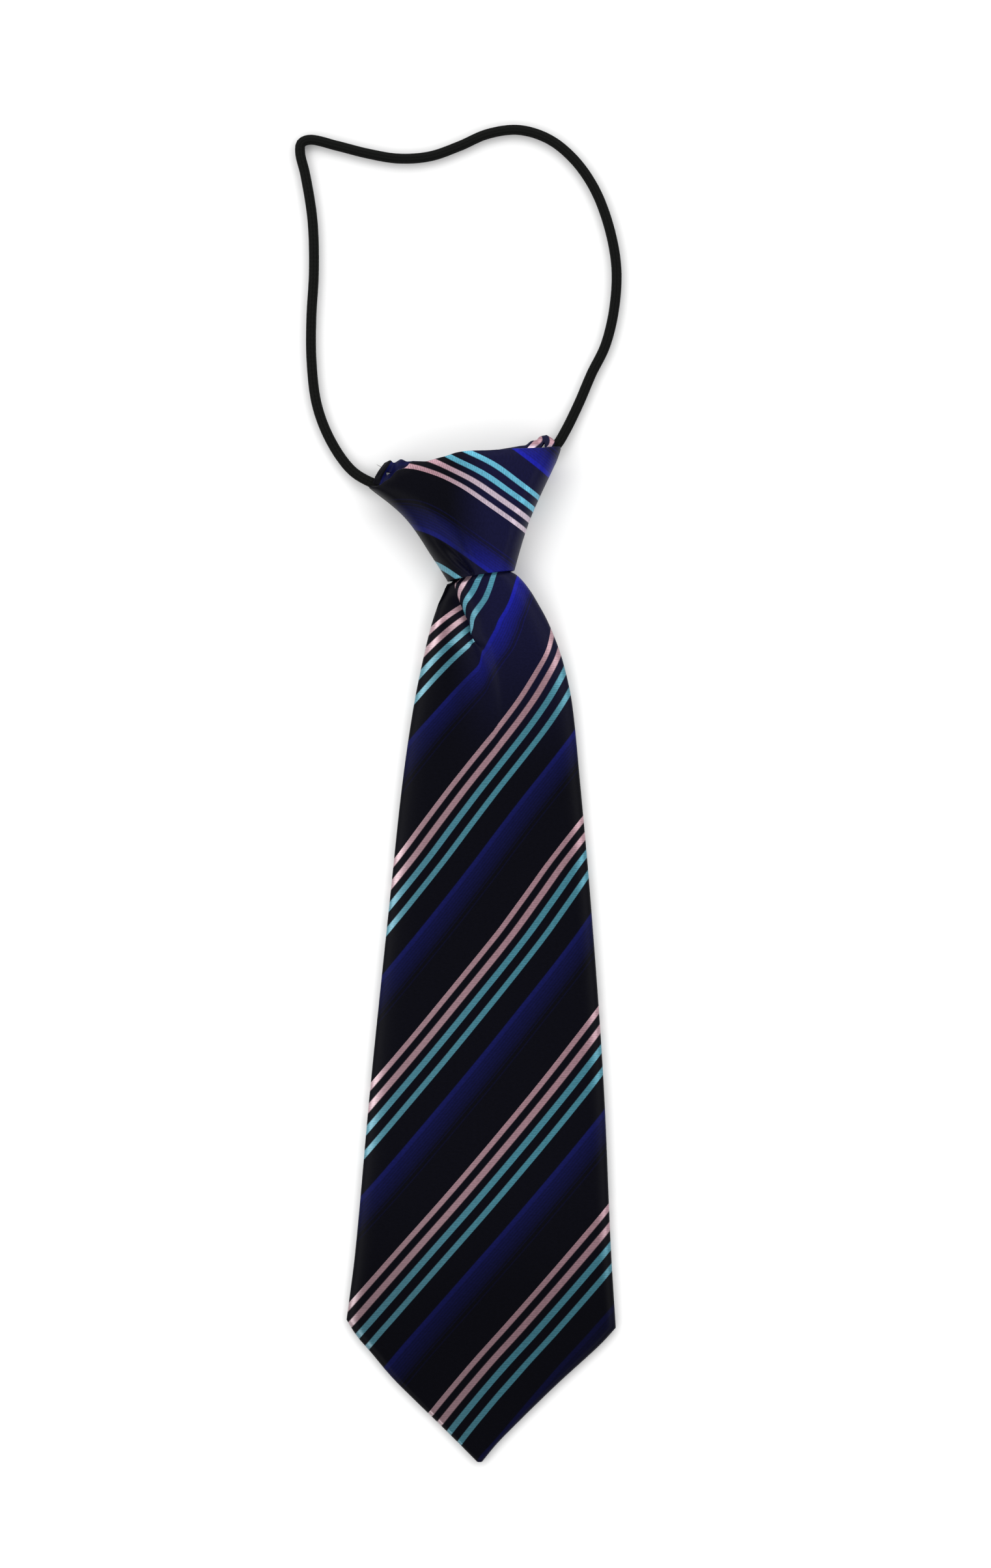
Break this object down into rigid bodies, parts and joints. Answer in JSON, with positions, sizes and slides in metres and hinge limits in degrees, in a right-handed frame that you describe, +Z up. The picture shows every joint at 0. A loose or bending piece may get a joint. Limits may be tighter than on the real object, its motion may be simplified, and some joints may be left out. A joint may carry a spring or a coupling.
{
  "type": "elastic tie",
  "caption": "Child's ready-made striped satin necktie: flat pointed blade, hollow tapered knot and folded neckband on a loop of round elastic.",
  "frame": {"origin": "on the table under the middle of the tie, measured over blade, knot and neckband without the elastic", "axes": "+Z up from the table through the face of the tie, +Y along the tie from its point to its knot, +X to the wearer's left as seen from the front"},
  "size_m": [0.0899, 0.3691, 0.0124],
  "materials": {
    "striped_satin": "navy satin with woven pink, teal and royal blue stripes",
    "knitted_elastic": "matt black knitted cover over rubber"
  },
  "bodies": {
    "root": {"blade": "striped_satin", "knot": "striped_satin", "neckband": "striped_satin", "elastic_cord": "knitted_elastic"}
  },
  "joints": []
}
